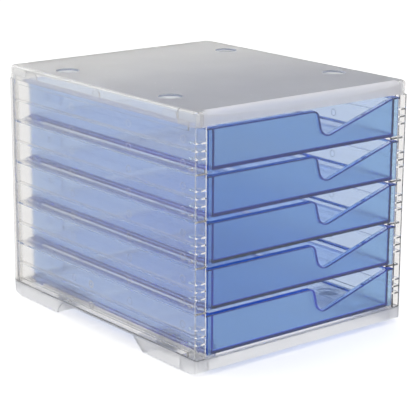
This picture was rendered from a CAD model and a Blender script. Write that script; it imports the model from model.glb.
"""Looks of a desktop drawer box: clear housing, frosted cover and five tinted drawers.

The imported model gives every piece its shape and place. This script copies those
pieces, rounds their moulded edges, adds the marks that the moulds leave, and gives
everything the finish of injection-moulded plastic, on a white studio floor.
"""

import logging
import math
from dataclasses import dataclass, field
from enum import Enum, IntEnum

import bmesh
import bpy
from mathutils import Matrix, Vector


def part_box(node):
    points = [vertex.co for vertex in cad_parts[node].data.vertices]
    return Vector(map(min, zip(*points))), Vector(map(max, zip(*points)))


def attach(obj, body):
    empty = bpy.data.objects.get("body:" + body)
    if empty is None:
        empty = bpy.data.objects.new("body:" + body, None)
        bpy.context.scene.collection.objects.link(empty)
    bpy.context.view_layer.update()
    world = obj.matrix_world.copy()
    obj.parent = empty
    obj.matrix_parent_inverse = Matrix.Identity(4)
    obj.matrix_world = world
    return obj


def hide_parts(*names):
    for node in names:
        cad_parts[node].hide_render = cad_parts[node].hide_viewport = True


LOG = logging.getLogger("drawer_box")

# One millimetre, in the scene's metres.
MM = 0.001
# Number of drawers, one to each tier of the housing.
DRAWER_COUNT = 5
# Side of the square picture, in pixels, and width of the camera's sensor, in Blender's millimetres.
PICTURE_SIDE = 416
SENSOR_WIDTH = 36.0
# Distance within which points are merged.
WELD = 0.002 * MM
# Largest angle between faces that are joined into one flat face.
LEVEL_ANGLE = math.radians(1.0)
# Weight that lets a large face keep its flat shading beside its rounded edges.
LARGE_FACES_FIRST = 60

# What a shader socket can be fed with.
Source = bpy.types.NodeSocket | float | tuple[float, ...]

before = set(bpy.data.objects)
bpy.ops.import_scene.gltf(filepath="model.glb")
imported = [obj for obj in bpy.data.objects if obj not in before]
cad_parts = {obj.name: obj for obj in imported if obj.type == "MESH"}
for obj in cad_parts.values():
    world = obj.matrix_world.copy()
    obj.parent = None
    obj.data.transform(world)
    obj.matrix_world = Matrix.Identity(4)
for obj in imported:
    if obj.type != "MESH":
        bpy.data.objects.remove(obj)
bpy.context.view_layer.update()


class Side(Enum):
    """A side of the box, seen from its front, with the sign of its X."""

    LEFT = -1
    RIGHT = 1


class Slot(Enum):
    """Names of the record's material slots."""

    CLEAR = "clear_housing"
    FROSTED = "frosted_cover"
    BLUE = "blue_drawer"
    RUBBER = "foot_rubber"


class BasePart(IntEnum):
    """Parts of the base by finish, in the order of its materials."""

    SKIRT = 0
    DECK = 1


class CoverPart(IntEnum):
    """Parts of the cover by finish, in the order of its materials."""

    BAND = 0
    TOP = 1
    ROLL = 2
    DIMPLE_FLOOR = 3
    DIMPLE_WALL = 4


class DrawerPart(IntEnum):
    """Parts of a drawer by finish, in the order of its materials."""

    WALLS = 0
    FRONT = 1
    RIMS = 2


# ---------------------------------------------------------------- shader nodes


class Tree:
    """Small hand for building shader nodes in one tree."""

    def __init__(self, tree: bpy.types.NodeTree) -> None:
        """Keeps the tree at hand."""
        self.tree = tree

    def add(self, kind: str, **settings: object) -> bpy.types.Node:
        """Adds a node.

        Args:
            kind: Blender's name of the node type, without the ShaderNode prefix.
            **settings: Properties of the node, set before its sockets are used.

        Returns:
            The new node.
        """
        node = self.tree.nodes.new("ShaderNode" + kind)
        for name, value in settings.items():
            setattr(node, name, value)
        return node

    def feed(self, socket: bpy.types.NodeSocket, source: Source) -> None:
        """Links another node's socket to this one, or sets its value.

        Args:
            socket: The input that is fed.
            source: An output socket, a number or a tuple.
        """
        if isinstance(source, bpy.types.NodeSocket):
            self.tree.links.new(source, socket)
        else:
            socket.default_value = source

    def math(self, operation: str, *values: Source) -> bpy.types.NodeSocket:
        """Adds a Math node.

        Args:
            operation: Blender's name of the operation.
            *values: Numbers or sockets, in the node's order.

        Returns:
            The node's output socket.
        """
        node = self.add("Math", operation=operation)
        for socket, value in zip(node.inputs, values):
            self.feed(socket, value)
        return node.outputs[0]

    def ramp(self, value: Source, low: float, high: float, to_low: float,
             to_high: float) -> bpy.types.NodeSocket:
        """Maps a value smoothly from one range to another.

        Args:
            value: The socket that is mapped.
            low: Where the ramp starts.
            high: Where the ramp ends.
            to_low: Result at the start.
            to_high: Result at the end.

        Returns:
            The mapped value.
        """
        node = self.add("MapRange", interpolation_type="SMOOTHSTEP")
        settings = {"Value": value, "From Min": low, "From Max": high, "To Min": to_low, "To Max": to_high}
        for name, part in settings.items():
            self.feed(node.inputs[name], part)
        return node.outputs["Result"]

    def blend(self, share: Source, first: Source, second: Source) -> bpy.types.NodeSocket:
        """Mixes two colours.

        Args:
            share: Share of the second colour, from 0 to 1.
            first: A colour or a socket.
            second: A colour or a socket.

        Returns:
            The mixed colour.
        """
        node = self.add("Mix", data_type="RGBA")
        for name, value in {"Factor": share, "A": first, "B": second}.items():
            self.feed(node.inputs[name], value)
        return node.outputs["Result"]

    def noise(self, place: Source, waves: Source, detail: float = 2.0) -> bpy.types.NodeSocket:
        """Adds a soft random pattern.

        Args:
            place: Where it is read.
            waves: Waves per metre.
            detail: Number of finer layers.

        Returns:
            The pattern, from 0 to 1.
        """
        node = self.add("TexNoise", noise_dimensions="3D")
        for name, value in {"Vector": place, "Scale": waves, "Detail": detail}.items():
            self.feed(node.inputs[name], value)
        return node.outputs[0]

    def place(self) -> bpy.types.NodeSocket:
        """Puts out the object's own coordinates, in metres."""
        return self.add("TexCoord").outputs["Object"]

    def depth(self) -> bpy.types.NodeSocket:
        """Puts out how far to the rear a place lies, in metres.

        Returns:
            The object's own Y.
        """
        parts = self.add("SeparateXYZ")
        self.feed(parts.inputs[0], self.place())
        return parts.outputs["Y"]

    def mix_shaders(self, share: Source, first: bpy.types.NodeSocket,
                    second: bpy.types.NodeSocket) -> bpy.types.NodeSocket:
        """Mixes two shaders.

        Args:
            share: Share of the second shader, from 0 to 1.
            first: The first shader.
            second: The second shader.

        Returns:
            The mixed shader.
        """
        node = self.add("MixShader")
        for socket, source in zip(node.inputs, (share, first, second)):
            self.feed(socket, source)
        return node.outputs[0]

    def indirect(self, path: bpy.types.Node) -> bpy.types.NodeSocket:
        """Puts out 1 where the plastic is looked through or mirrors, by a Light Path node."""
        return self.math("MAXIMUM", path.outputs["Is Transmission Ray"], path.outputs["Is Glossy Ray"])

    def effect(self, group: bpy.types.NodeTree, **inputs: Source) -> bpy.types.Node:
        """Places a shared effect.

        Args:
            group: The effect's node group.
            **inputs: Values or sockets for its inputs, by name.

        Returns:
            The group node.
        """
        node = self.add("Group")
        node.node_tree = group
        for name, value in inputs.items():
            self.feed(node.inputs[name], value)
        return node


def fresh_tree(owner: bpy.types.Material | bpy.types.World) -> Tree:
    """Empties a material's or a world's nodes.

    Args:
        owner: The material or the world.

    Returns:
        A hand for its nodes.
    """
    owner.use_nodes = True
    owner.node_tree.nodes.clear()
    return Tree(owner.node_tree)


def new_group(name: str, inputs: dict[str, float],
              outputs: tuple[str, ...]) -> tuple[Tree, bpy.types.NodeOutputs, bpy.types.NodeInputs]:
    """Starts a node group that reads a place and puts out values.

    Args:
        name: Name of the group.
        inputs: Its number inputs and their defaults.
        outputs: Its number outputs.

    Returns:
        A hand for the group's nodes, the sockets that it is given and the sockets that it puts out.
    """
    group = bpy.data.node_groups.new(name, "ShaderNodeTree")
    group.interface.new_socket("Place", in_out="INPUT", socket_type="NodeSocketVector")
    for label, value in inputs.items():
        socket = group.interface.new_socket(label, in_out="INPUT", socket_type="NodeSocketFloat")
        socket.default_value = value
    for label in outputs:
        group.interface.new_socket(label, in_out="OUTPUT", socket_type="NodeSocketFloat")
    tree = Tree(group)
    given = group.nodes.new("NodeGroupInput").outputs
    result = group.nodes.new("NodeGroupOutput").inputs
    return tree, given, result


def moulding_ripple() -> bpy.types.NodeTree:
    """Makes the slow waves that cooling leaves in a flat moulded wall.

    Returns:
        The node group.
    """
    tree, given, result = new_group("moulding_ripple", {"Waves per metre": 20.0}, ("Height",))
    tree.feed(result["Height"], tree.noise(given["Place"], given["Waves per metre"], detail=1.0))
    return tree.tree


def moulded_grain() -> bpy.types.NodeTree:
    """Makes the fine eroded grain of a matt mould face, and slow clouds in it.

    Returns:
        The node group.
    """
    sizes = {"Grains per metre": 900.0, "Clouds per grain": 0.02}
    tree, given, result = new_group("moulded_grain", sizes, ("Height", "Cloud"))
    clouds = tree.math("MULTIPLY", given["Grains per metre"], given["Clouds per grain"])
    tree.feed(result["Height"], tree.noise(given["Place"], given["Grains per metre"]))
    tree.feed(result["Cloud"], tree.noise(given["Place"], clouds))
    return tree.tree


def dust_specks() -> bpy.types.NodeTree:
    """Makes the sparse pale specks that dust and trapped bubbles leave.

    Returns:
        The node group.
    """
    tree, given, result = new_group("dust_specks", {"Specks per metre": 60.0, "Size": 0.04}, ("Mask",))
    cells = tree.add("TexVoronoi", voronoi_dimensions="3D")
    tree.feed(cells.inputs["Vector"], given["Place"])
    tree.feed(cells.inputs["Scale"], given["Specks per metre"])
    tree.feed(result["Mask"], tree.math("LESS_THAN", cells.outputs["Distance"], given["Size"]))
    return tree.tree


@dataclass(frozen=True)
class Effects:
    """The shared effects, each built once.

    Fields:
        ripple: Slow waves of a flat wall.
        grain: Fine grain and its slow clouds.
        specks: Sparse pale specks.
    """

    ripple: bpy.types.NodeTree = field(default_factory=moulding_ripple)
    grain: bpy.types.NodeTree = field(default_factory=moulded_grain)
    specks: bpy.types.NodeTree = field(default_factory=dust_specks)


# ---------------------------------------------------------------- finishes


@dataclass(frozen=True)
class Stretch:
    """A stretch of the object's depth, from front to rear.

    Fields:
        start: Where it starts, in metres.
        end: Where it ends.
    """

    start: float
    end: float

    def change(self, tree: Tree, first: float, last: float) -> bpy.types.NodeSocket:
        """Puts out a value that goes smoothly from the first to the last along the stretch."""
        return tree.ramp(tree.depth(), self.start, self.end, first, last)


@dataclass(frozen=True)
class Haze(Stretch):
    """A rise in roughness along a stretch.

    Fields:
        roughness: Roughness at the end.
    """

    roughness: float


@dataclass(frozen=True)
class Fade(Stretch):
    """A change of tint along a stretch.

    Fields:
        tint: Tint at the end.
    """

    tint: tuple[float, float, float]


@dataclass(frozen=True)
class Plastic:
    """Moulded see-through plastic.

    Fields:
        name: Name of the material.
        tint: Colour that one wall lets through, and of the light that it scatters.
        roughness: Blur of reflections and of what shows through.
        milk: Share of the light that is scattered in the wall.
        ior: Refractive index.
        shadow: Share of lamp light that one face lets through.
        depth_tint: Colour of long ways through the plastic, as along an edge.
        depth: Strength of that colour.
        ripple: Height of the slow waves, in metres.
        grain: Height of the fine grain, in metres.
        speck_tint: Colour of the specks.
        haze: Where the roughness rises.
        fade: Where the tint changes.
        uneven_tint: Share by which the tint wavers.
        uneven_blur: Share by which the roughness wavers.
    """

    name: str
    tint: tuple[float, float, float]
    roughness: float
    milk: float = 0.0
    ior: float = 1.5
    shadow: tuple[float, float, float] = (0.95, 0.95, 0.95)
    depth_tint: tuple[float, float, float] = (1.0, 1.0, 1.0)
    depth: float = 0.0
    ripple: float = 0.0
    grain: float = 0.0
    speck_tint: tuple[float, float, float] | None = None
    haze: Haze | None = None
    fade: Fade | None = None
    uneven_tint: float = 0.015
    uneven_blur: float = 0.15

    def colour(self, tree: Tree, effects: Effects) -> bpy.types.NodeSocket:
        """Builds the tint, cloudy by a hair and with its specks.

        Args:
            tree: The material's nodes.
            effects: The shared effects.

        Returns:
            A socket with the colour.
        """
        grain = tree.effect(effects.grain, Place=tree.place())
        darker = tuple(part * (1.0 - self.uneven_tint) for part in self.tint)
        paler = tuple(min(part * (1.0 + self.uneven_tint), 1.0) for part in self.tint)
        colour = tree.blend(grain.outputs["Cloud"], (*darker, 1.0), (*paler, 1.0))
        if self.fade:
            colour = tree.blend(self.fade.change(tree, 0.0, 1.0), colour, (*self.fade.tint, 1.0))
        if self.speck_tint:
            specks = tree.effect(effects.specks, Place=tree.place())
            colour = tree.blend(specks.outputs["Mask"], colour, (*self.speck_tint, 1.0))
        return colour

    def blur(self, tree: Tree, effects: Effects) -> bpy.types.NodeSocket:
        """Builds the roughness, uneven by a hair and with its haze.

        Args:
            tree: The material's nodes.
            effects: The shared effects.

        Returns:
            A socket with the roughness.
        """
        grain = tree.effect(effects.grain, Place=tree.place())
        level: Source = self.roughness
        if self.haze:
            level = self.haze.change(tree, self.roughness, self.haze.roughness)
        least, span = 1.0 - self.uneven_blur, 2.0 * self.uneven_blur
        uneven = tree.math("MULTIPLY_ADD", grain.outputs["Cloud"], span, least)
        return tree.math("MULTIPLY", uneven, level)

    def relief(self, tree: Tree, effects: Effects) -> bpy.types.NodeSocket:
        """Builds the surface relief.

        Args:
            tree: The material's nodes.
            effects: The shared effects.

        Returns:
            A socket with the normal.
        """
        ripple = tree.effect(effects.ripple, Place=tree.place())
        grain = tree.effect(effects.grain, Place=tree.place())
        slow = tree.math("MULTIPLY", ripple.outputs["Height"], self.ripple)
        height = tree.math("MULTIPLY_ADD", grain.outputs["Height"], self.grain, slow)
        bump = tree.add("Bump")
        tree.feed(bump.inputs["Strength"], 1.0)
        tree.feed(bump.inputs["Distance"], 1.0)
        tree.feed(bump.inputs["Height"], height)
        return bump.outputs[0]

    def material(self, effects: Effects) -> bpy.types.Material:
        """Builds the material.

        Args:
            effects: The shared effects.

        Returns:
            The new material.
        """
        made = bpy.data.materials.new(self.name)
        tree = fresh_tree(made)
        body = tree.add("BsdfPrincipled")
        tree.feed(body.inputs["Base Color"], self.colour(tree, effects))
        tree.feed(body.inputs["Roughness"], self.blur(tree, effects))
        body.inputs["IOR"].default_value = self.ior
        body.inputs["Transmission Weight"].default_value = 1.0 - self.milk
        if self.ripple or self.grain:
            tree.feed(body.inputs["Normal"], self.relief(tree, effects))
        open_way = tree.add("BsdfTransparent")
        open_way.inputs["Color"].default_value = (*self.shadow, 1.0)
        path = tree.add("LightPath")
        out = tree.add("OutputMaterial")
        shown = tree.mix_shaders(path.outputs["Is Shadow Ray"], body.outputs[0], open_way.outputs[0])
        tree.feed(out.inputs["Surface"], shown)
        if self.depth > 0.0:
            inside = tree.add("VolumeAbsorption")
            inside.inputs["Color"].default_value = (*self.depth_tint, 1.0)
            inside.inputs["Density"].default_value = self.depth
            tree.feed(out.inputs["Volume"], inside.outputs[0])
        return made


# ---------------------------------------------------------------- studio


@dataclass
class Studio:
    """White floor, soft lamp and the camera of the reference view.

    Fields:
        azimuth: Turn of the view round the object, in degrees.
        elevation: Height of the view above level, in degrees.
        roll: Turn of the picture, in degrees.
        eye: Place of the camera, in metres.
        focal_px: Focal length, in pixels of the picture.
        centre_px: Where the view's middle falls in the picture.
        view_end: How far the camera sees, in metres.
        floor_radius: Radius of the round floor.
        floor_sides: Sides of its outline.
        floor_colour: Brightness of its paint.
        floor_glow: Light that it adds for the camera alone, which whitens the background.
        floor_white: Share of plain white that shows through the plastic and in reflections.
        sky: Strength of the light from all round.
        lamp_place: Place of the lamp.
        lamp_aim: Where the lamp points.
        lamp_size: Side of the square lamp.
        lamp_power: Its power, in watts.
        bounces: How many times light may turn inside the plastic.
    """

    azimuth: float = -37.897
    elevation: float = 14.75
    roll: float = 0.094
    eye: tuple[float, float, float] = (-1.0445, -1.3093, 0.5685)
    focal_px: float = 1569.75
    centre_px: tuple[float, float] = (184.594, 197.551)
    view_end: float = 60.0
    floor_radius: float = 9.0
    floor_sides: int = 96
    floor_colour: float = 0.86
    floor_glow: float = 0.40
    floor_white: float = 0.95
    sky: float = 0.75
    lamp_place: tuple[float, float, float] = (-0.3, 0.2, 1.9)
    lamp_aim: tuple[float, float, float] = (0.0, 0.0, 0.13)
    lamp_size: float = 1.6
    lamp_power: float = 14.0
    bounces: int = 48

    def camera(self) -> None:
        """Places the camera and makes it the scene's own."""
        data = bpy.data.cameras.new("camera")
        data.sensor_width = SENSOR_WIDTH
        data.lens = SENSOR_WIDTH * self.focal_px / PICTURE_SIDE
        data.shift_x = (PICTURE_SIDE / 2 - self.centre_px[0]) / PICTURE_SIDE
        data.shift_y = (self.centre_px[1] - PICTURE_SIDE / 2) / PICTURE_SIDE
        data.clip_end = self.view_end
        az, el = math.radians(self.azimuth), math.radians(self.elevation)
        back = Vector((math.sin(az) * math.cos(el), -math.cos(az) * math.cos(el), math.sin(el)))
        right = Vector((math.cos(az), math.sin(az), 0.0))
        up = back.cross(right)
        turn = Matrix.Rotation(math.radians(self.roll), 3, back)
        right, up = turn @ right, turn @ up
        basis = Matrix((right, up, back)).transposed().to_4x4()
        camera = bpy.data.objects.new("camera", data)
        camera.matrix_world = Matrix.Translation(self.eye) @ basis
        bpy.context.scene.collection.objects.link(camera)
        bpy.context.scene.camera = camera

    def floor(self) -> None:
        """Lays the floor, which looks white and keeps the object's soft shadow."""
        sheet = bmesh.new()
        bmesh.ops.create_circle(sheet, cap_ends=True, segments=self.floor_sides, radius=self.floor_radius)
        mesh = bpy.data.meshes.new("floor")
        sheet.to_mesh(mesh)
        sheet.free()
        mesh.materials.append(self.floor_paint())
        floor = bpy.data.objects.new("floor", mesh)
        bpy.context.scene.collection.objects.link(floor)

    def floor_paint(self) -> bpy.types.Material:
        """Makes the floor's white, which the camera and the plastic see brighter than the lamps do.

        Returns:
            The new material.
        """
        made = bpy.data.materials.new("white_floor")
        tree = fresh_tree(made)
        paint = tree.add("BsdfDiffuse")
        paint.inputs["Color"].default_value = (self.floor_colour, self.floor_colour, self.floor_colour, 1.0)
        path = tree.add("LightPath")
        glow = tree.add("Emission")
        added = tree.math("MULTIPLY", path.outputs["Is Camera Ray"], self.floor_glow)
        tree.feed(glow.inputs["Strength"], added)
        both = tree.add("AddShader")
        tree.feed(both.inputs[0], paint.outputs[0])
        tree.feed(both.inputs[1], glow.outputs[0])
        white = tree.add("Emission")
        tree.feed(white.inputs["Strength"], 1.0)
        share = tree.math("MULTIPLY", tree.indirect(path), self.floor_white)
        out = tree.add("OutputMaterial")
        tree.feed(out.inputs["Surface"], tree.mix_shaders(share, both.outputs[0], white.outputs[0]))
        return made

    def world(self) -> None:
        """Sets the even studio light and the white surroundings that show behind it."""
        world = bpy.data.worlds.new("studio")
        tree = fresh_tree(world)
        path = tree.add("LightPath")
        seen = tree.math("MAXIMUM", path.outputs["Is Camera Ray"], tree.indirect(path))
        sky = tree.add("Background")
        tree.feed(sky.inputs["Strength"], tree.math("MULTIPLY_ADD", seen, 1.0 - self.sky, self.sky))
        sky.inputs["Color"].default_value = (1.0, 1.0, 1.0, 1.0)
        out = tree.add("OutputWorld")
        tree.feed(out.inputs["Surface"], sky.outputs[0])
        bpy.context.scene.world = world

    def lamp(self) -> None:
        """Hangs the soft square lamp above the object."""
        data = bpy.data.lights.new("lamp_above", "AREA")
        data.size = self.lamp_size
        data.energy = self.lamp_power
        lamp = bpy.data.objects.new("lamp_above", data)
        lamp.location = self.lamp_place
        aim = Vector(self.lamp_aim) - Vector(self.lamp_place)
        lamp.rotation_euler = aim.to_track_quat("-Z", "Y").to_euler()
        bpy.context.scene.collection.objects.link(lamp)

    def build(self) -> None:
        """Sets up the whole studio."""
        self.camera()
        self.world()
        self.floor()
        self.lamp()
        bpy.context.scene.view_settings.view_transform = "Standard"
        cycles = bpy.context.scene.cycles
        cycles.max_bounces = self.bounces
        cycles.glossy_bounces = self.bounces
        cycles.transmission_bounces = self.bounces
        cycles.transparent_max_bounces = self.bounces


# ---------------------------------------------------------------- making meshes


def finish_piece(shape: bmesh.types.BMesh, name: str, slot: Slot, body: str,
                 *materials: bpy.types.Material) -> bpy.types.Object:
    """Turns a bmesh into a piece of the object.

    Args:
        shape: The mesh, which is freed.
        name: Name of the piece.
        slot: Slot of the record that it takes its finish from.
        body: CAD body that it moves with.
        *materials: Its materials, in the order of its faces' numbers.

    Returns:
        The new object.
    """
    mesh = bpy.data.meshes.new(name)
    shape.to_mesh(mesh)
    shape.free()
    for made in materials:
        mesh.materials.append(made)
    piece = bpy.data.objects.new(name, mesh)
    bpy.context.scene.collection.objects.link(piece)
    even = piece.modifiers.new("even_shading", "WEIGHTED_NORMAL")
    even.mode = "FACE_AREA"
    even.weight = LARGE_FACES_FIRST
    even.keep_sharp = True
    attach(piece, body)
    LOG.info("%s: %d faces", name, len(mesh.polygons))
    return piece


def moulded_copy(node: str, edge: float, segments: int = 2, sharp: float = 28.0) -> bmesh.types.BMesh:
    """Copies a CAD piece and rounds its edges, as a mould does.

    Args:
        node: Name of the CAD piece.
        edge: Radius of the rounding, in metres.
        segments: Faces across each rounding.
        sharp: Smallest angle between faces that counts as an edge, in degrees.

    Returns:
        The rounded mesh.
    """
    least = math.radians(sharp)
    shape = bmesh.new()
    shape.from_mesh(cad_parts[node].data)
    bmesh.ops.remove_doubles(shape, verts=shape.verts, dist=WELD)
    bmesh.ops.dissolve_limit(shape, angle_limit=LEVEL_ANGLE, verts=shape.verts, edges=shape.edges)
    edges = [e for e in shape.edges if e.is_manifold and e.calc_face_angle() > least]
    bmesh.ops.bevel(shape, geom=edges, offset=edge, offset_type="OFFSET", segments=segments, profile=0.5,
                    affect="EDGES", clamp_overlap=False, material=-1)
    low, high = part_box(node)
    for vert in shape.verts:
        vert.co = [min(max(vert.co[k], low[k]), high[k]) for k in range(3)]
    for face in shape.faces:
        face.smooth = True
        face.material_index = 0
    for e in shape.edges:
        e.smooth = not (e.is_manifold and e.calc_face_angle() > least)
    return shape


@dataclass(frozen=True)
class Ring:
    """A low ring that a mould pin leaves on a flat wall.

    Fields:
        radius: Radius to the middle of the ring's band.
        width: Width of the band.
        height: How far it stands out.
        steps: Faces round the band.
        petals: Waves round the band, or 0 for a plain one.
        swell: Height of those waves, as a share of the radius.
        root: Share of the height that reaches into the wall.
    """

    radius: float
    width: float
    height: float
    steps: int = 32
    petals: int = 0
    swell: float = 0.12
    root: float = 0.2

    def add_to(self, shape: bmesh.types.BMesh, centre: Vector, facing: Vector) -> None:
        """Adds the ring to a mesh.

        Args:
            shape: The mesh that takes the ring.
            centre: Middle of the ring, on the wall.
            facing: Direction away from the wall.
        """
        before = set(shape.verts)
        foot, half, quarter = -self.root * self.height, self.width / 2, self.width / 4
        outline = ((-half, foot), (-quarter, self.height), (quarter, self.height), (half, foot))
        profile = [shape.verts.new((self.radius + out, 0.0, up)) for out, up in outline]
        edges = [shape.edges.new(pair) for pair in zip(profile, profile[1:] + profile[:1])]
        bmesh.ops.spin(shape, geom=profile + edges, cent=(0, 0, 0), axis=(0, 0, 1), dvec=(0, 0, 0),
                       angle=math.tau, steps=self.steps, use_merge=True, use_duplicate=False)
        verts = [vert for vert in shape.verts if vert not in before]
        if self.petals:
            for vert in verts:
                grow = 1.0 + self.swell * math.cos(self.petals * math.atan2(vert.co.y, vert.co.x))
                vert.co.x, vert.co.y = vert.co.x * grow, vert.co.y * grow
        turn = facing.to_track_quat("Z", "X").to_matrix().to_4x4()
        bmesh.ops.transform(shape, matrix=Matrix.Translation(centre) @ turn, verts=verts)


# ---------------------------------------------------------------- sub-assemblies


@dataclass
class Housing:
    """Clear housing: two side panels, the base, the back panel and their mould marks.

    Fields:
        edge: Radius of the rounded edges.
        tier: Height of one drawer's place.
        deck: Height of the base's deck.
        deck_depth: Thickness in which the deck's faces are looked for.
        rim: Width of the base's rim round the deck.
        level_share: Least upward part of a level face's normal.
        pin_rows: Heights of the pin rings above the foot of their tier.
        pin_columns: Their distances from the front.
        pin: A pin ring.
        wheel_spots: Distances of the wheel marks behind the middle and above the table.
        wheel: A wheel mark.
        mark_depth: How deep the marks' foot lies under the face.
    """

    edge: float = 0.15 * MM
    tier: float = 47.0 * MM
    deck: float = 18.0 * MM
    deck_depth: float = 4.8 * MM
    rim: float = 8.0 * MM
    level_share: float = 0.9
    pin_rows: tuple[float, ...] = (9.5 * MM, 33.5 * MM)
    pin_columns: tuple[float, ...] = (213.9 * MM, 111.4 * MM, 21.9 * MM)
    pin: Ring = Ring(radius=3.6 * MM, width=0.6 * MM, height=0.15 * MM)
    wheel_spots: tuple[tuple[float, float], ...] = ((12.4 * MM, 28.5 * MM), (12.4 * MM, 52.2 * MM))
    wheel: Ring = Ring(radius=3.4 * MM, width=1.6 * MM, height=0.15 * MM, steps=48, petals=8)
    mark_depth: float = 0.2 * MM

    def marks(self, side: Side, material: bpy.types.Material) -> None:
        """Adds the pin rings and the two wheel marks just under a side panel's face.

        Args:
            side: Which panel.
            material: Material of the marks.
        """
        name = side.name.lower()
        low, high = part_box(name + "_side_panel")
        wall_x = side.value * (max(abs(low[0]), abs(high[0])) - self.mark_depth)
        outward = Vector((side.value, 0.0, 0.0))
        shape = bmesh.new()
        for tier in range(DRAWER_COUNT):
            for row in self.pin_rows:
                for column in self.pin_columns:
                    spot = Vector((wall_x, low[1] + column, self.deck + tier * self.tier + row))
                    self.pin.add_to(shape, spot, outward)
        for y, z in self.wheel_spots:
            self.wheel.add_to(shape, Vector((wall_x, y, z)), outward)
        bmesh.ops.recalc_face_normals(shape, faces=shape.faces)
        finish_piece(shape, name + "_panel_pin_marks", Slot.CLEAR, "housing", material)

    def clear_deck(self, shape: bmesh.types.BMesh) -> None:
        """Marks the faces of the base's deck, which is clearer than the skirt.

        Args:
            shape: The base's mesh.
        """
        low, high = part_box("base")
        for face in shape.faces:
            middle = face.calc_center_median()
            across = abs(middle.x) < high[0] - self.rim
            along = low[1] + self.rim < middle.y < high[1] - self.rim
            level = abs(face.normal.z) > self.level_share
            if across and along and level and middle.z > self.deck - self.deck_depth:
                face.material_index = BasePart.DECK

    def build(self, panel: bpy.types.Material, base: bpy.types.Material, back: bpy.types.Material,
              mark: bpy.types.Material) -> None:
        """Builds the housing's pieces.

        Args:
            panel: Material of the side panels.
            base: Material of the base.
            back: Material of the back panel and of the base's deck.
            mark: Material of the mould marks.
        """
        walls = {"left_side_panel": panel, "right_side_panel": panel, "base": base, "back_panel": back}
        for node, made in walls.items():
            shape = moulded_copy(node, self.edge)
            materials = [made]
            if node == "base":
                self.clear_deck(shape)
                materials.append(back)
            piece = finish_piece(shape, node + "_moulding", Slot.CLEAR, "housing", *materials)
            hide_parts(node)
        for side in Side:
            self.marks(side, mark)


@dataclass
class TopCover:
    """Frosted cover with a clear band, a rolled front and four stacking dimples.

    Fields:
        edge: Radius of the rounded edges.
        frost_inset: Width of the clear band round the frosted top.
        roll_run: Depth of the rolled front.
        corner: Width of the clear front corners.
        plate: Depth in which the top plate's lower face is looked for.
        level: Play allowed when a face's height is told.
        level_share: Least upward part of a level face's normal.
        dimple_spots: Distances of the dimples from the middle, to the side and to the rear.
        dimple_radius: Radius in which a dimple's faces are looked for.
        dimple_depth: Depth in which they are looked for.
    """

    edge: float = 0.12 * MM
    frost_inset: float = 3.0 * MM
    roll_run: float = 9.0 * MM
    corner: float = 8.0 * MM
    plate: float = 2.1 * MM
    level: float = 0.05 * MM
    level_share: float = 0.99
    dimple_spots: tuple[tuple[float, float], ...] = ((111.0 * MM, -87.0 * MM), (111.0 * MM, 97.0 * MM))
    dimple_radius: float = 12.7 * MM
    dimple_depth: float = 2.4 * MM

    def in_dimple(self, place: Vector) -> bool:
        """Tells whether a place on the top lies in one of the four dimples."""
        ways = [math.hypot(abs(place.x) - x, place.y - y) for x, y in self.dimple_spots]
        return min(ways) < self.dimple_radius

    def share(self, shape: bmesh.types.BMesh) -> None:
        """Shares the faces out to the cover's parts, and leaves the rest to the clear band.

        Args:
            shape: The cover's mesh.
        """
        low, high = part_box("top_cover")
        for face in shape.faces:
            middle = face.calc_center_median()
            across = abs(middle.x) < high[0] - self.frost_inset
            along = low[1] + self.roll_run < middle.y < high[1] - self.frost_inset
            outer = face.normal.z > self.level_share and middle.z > high[2] - self.level
            inner = face.normal.z < -self.level_share and middle.z > high[2] - self.plate
            sunk = self.level < high[2] - middle.z < self.dimple_depth
            if sunk and self.in_dimple(middle) and not inner:
                flat = face.normal.z > self.level_share
                face.material_index = CoverPart.DIMPLE_FLOOR if flat else CoverPart.DIMPLE_WALL
            elif across and along and (outer or inner):
                face.material_index = CoverPart.TOP
            elif abs(middle.x) < high[0] - self.corner and middle.y < low[1] + self.roll_run + self.level:
                face.material_index = CoverPart.ROLL

    def build(self, clear: bpy.types.Material, frosted: bpy.types.Material, roll: bpy.types.Material,
              dimple: bpy.types.Material, rim: bpy.types.Material) -> None:
        """Builds the cover.

        Args:
            clear: Material of the band and the corners.
            frosted: Material of the flat top.
            roll: Material of the rolled front.
            dimple: Material of the dimples' floors.
            rim: Material of the dimples' walls.
        """
        shape = moulded_copy("top_cover", self.edge)
        self.share(shape)
        piece = finish_piece(shape, "top_cover_moulding", Slot.FROSTED, "housing", clear, frosted, roll,
                             dimple, rim)
        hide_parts("top_cover")


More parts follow.
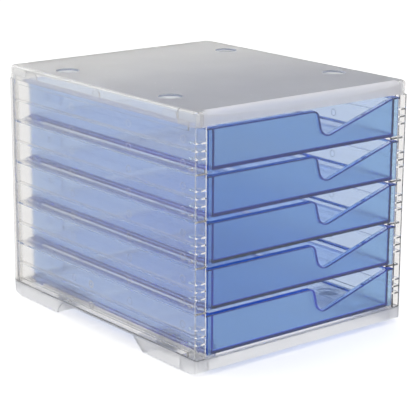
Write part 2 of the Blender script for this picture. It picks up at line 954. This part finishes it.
@dataclass
class Drawers:
    """Five tinted drawers, each with a front plate, thin walls and saturated rims.

    Fields:
        edge: Radius of the rounded edges.
        plate: Thickness of the front plate.
        level: Play allowed behind the plate.
        rim_drop: How far below the drawer's top its walls' rims may lie.
        flat: Least part of a normal for a face to count as square to it.
    """

    edge: float = 0.2 * MM
    plate: float = 2.0 * MM
    level: float = 0.3 * MM
    rim_drop: float = 12.0 * MM
    flat: float = 0.9

    def share(self, shape: bmesh.types.BMesh, node: str) -> None:
        """Shares the faces out to the drawer's parts, and leaves the rest to its walls.

        Args:
            shape: The drawer's mesh.
            node: Name of the drawer.
        """
        low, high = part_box(node)
        for face in shape.faces:
            middle = face.calc_center_median()
            if middle.y < low[1] + self.plate + self.level:
                square = abs(face.normal.y) > self.flat
                face.material_index = DrawerPart.FRONT if square else DrawerPart.RIMS
            elif face.normal.z > self.flat and middle.z > high[2] - self.rim_drop:
                face.material_index = DrawerPart.RIMS

    def build(self, walls: bpy.types.Material, front: bpy.types.Material, rims: bpy.types.Material) -> None:
        """Builds the drawers.

        Args:
            walls: Material of the tray's walls and floor.
            front: Material of the front plate.
            rims: Material of the plate's and the walls' rims.
        """
        for number in range(1, DRAWER_COUNT + 1):
            node = f"drawer_{number}"
            shape = moulded_copy(node, self.edge)
            self.share(shape, node)
            piece = finish_piece(shape, node + "_moulding", Slot.BLUE, node + "_body", walls, front, rims)
            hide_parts(node)


@dataclass
class FootPads:
    """Four rubber pads under the base.

    Fields:
        edge: Radius of the rounded edges.
    """

    edge: float = 0.4 * MM

    def build(self, rubber: bpy.types.Material) -> None:
        """Builds the pads.

        Args:
            rubber: Their material.
        """
        for end in ("front", "rear"):
            for side in Side:
                node = f"{end}_{side.name.lower()}_foot"
                shape = moulded_copy(node, self.edge)
                piece = finish_piece(shape, node + "_pad", Slot.RUBBER, "housing", rubber)
                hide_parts(node)


# ---------------------------------------------------------------- the whole object


# What all parts of a drawer share, because they are one moulding.
BLUE: dict[str, object] = {"shadow": (0.90, 0.93, 0.96), "depth_tint": (0.10, 0.50, 0.985), "depth": 140.0}

CLEAR_PANEL = Plastic("clear_panel", tint=(0.955, 0.945, 0.93), roughness=0.03, ripple=0.00004,
                      haze=Haze(start=-0.14, end=0.16, roughness=0.16))
PIN_MARK = Plastic("pin_mark", tint=(0.97, 0.97, 1.0), roughness=0.15, milk=0.45)
CLEAR_BACK = Plastic("clear_back", tint=(0.95, 0.945, 0.935), roughness=0.12, ripple=0.00004)
CLEAR_COVER = Plastic("clear_cover", tint=(0.965, 0.96, 0.95), roughness=0.08, milk=0.2, ripple=0.00003)
FROSTED_TOP = Plastic("frosted_top", tint=(0.42, 0.43, 0.48), roughness=0.5, milk=0.05, grain=0.00002,
                      speck_tint=(0.97, 0.97, 0.97),
                      fade=Fade(start=-0.12, end=0.15, tint=(0.76, 0.755, 0.745)))
FROSTED_ROLL = Plastic("frosted_roll", tint=(0.90, 0.90, 0.93), roughness=0.35, milk=0.3, grain=0.00001)
DIMPLE_FLOOR = Plastic("dimple_floor", tint=(0.95, 0.95, 0.955), roughness=0.2, milk=0.6)
DIMPLE_WALL = Plastic("dimple_wall", tint=(0.42, 0.48, 0.62), roughness=0.2, milk=0.3)
MILKY_BASE = Plastic("milky_base", tint=(0.93, 0.935, 0.955), roughness=0.3, milk=0.22, grain=0.00001)
BLUE_WALL = Plastic("blue_wall", tint=(0.84, 0.88, 0.95), roughness=0.03, milk=0.05, ripple=0.00002, **BLUE)
BLUE_FRONT = Plastic("blue_front", tint=(0.60, 0.78, 0.90), roughness=0.22, milk=0.08, grain=0.000006,
                     **BLUE)
BLUE_RIM = Plastic("blue_rim", tint=(0.04, 0.20, 0.80), roughness=0.2, milk=0.5, **BLUE)
GREY_RUBBER = Plastic("grey_rubber", tint=(0.35, 0.35, 0.36), roughness=0.6, milk=1.0,
                      shadow=(0.0, 0.0, 0.0), grain=0.00002)


def main() -> None:
    """Builds the studio and every piece."""
    Studio().build()
    effects = Effects()
    Housing().build(CLEAR_PANEL.material(effects), MILKY_BASE.material(effects), CLEAR_BACK.material(effects),
                    PIN_MARK.material(effects))
    TopCover().build(CLEAR_COVER.material(effects), FROSTED_TOP.material(effects),
                     FROSTED_ROLL.material(effects), DIMPLE_FLOOR.material(effects),
                     DIMPLE_WALL.material(effects))
    Drawers().build(BLUE_WALL.material(effects), BLUE_FRONT.material(effects), BLUE_RIM.material(effects))
    FootPads().build(GREY_RUBBER.material(effects))


if __name__ == "__main__":
    logging.basicConfig(level=logging.INFO, format="%(message)s")
    main()
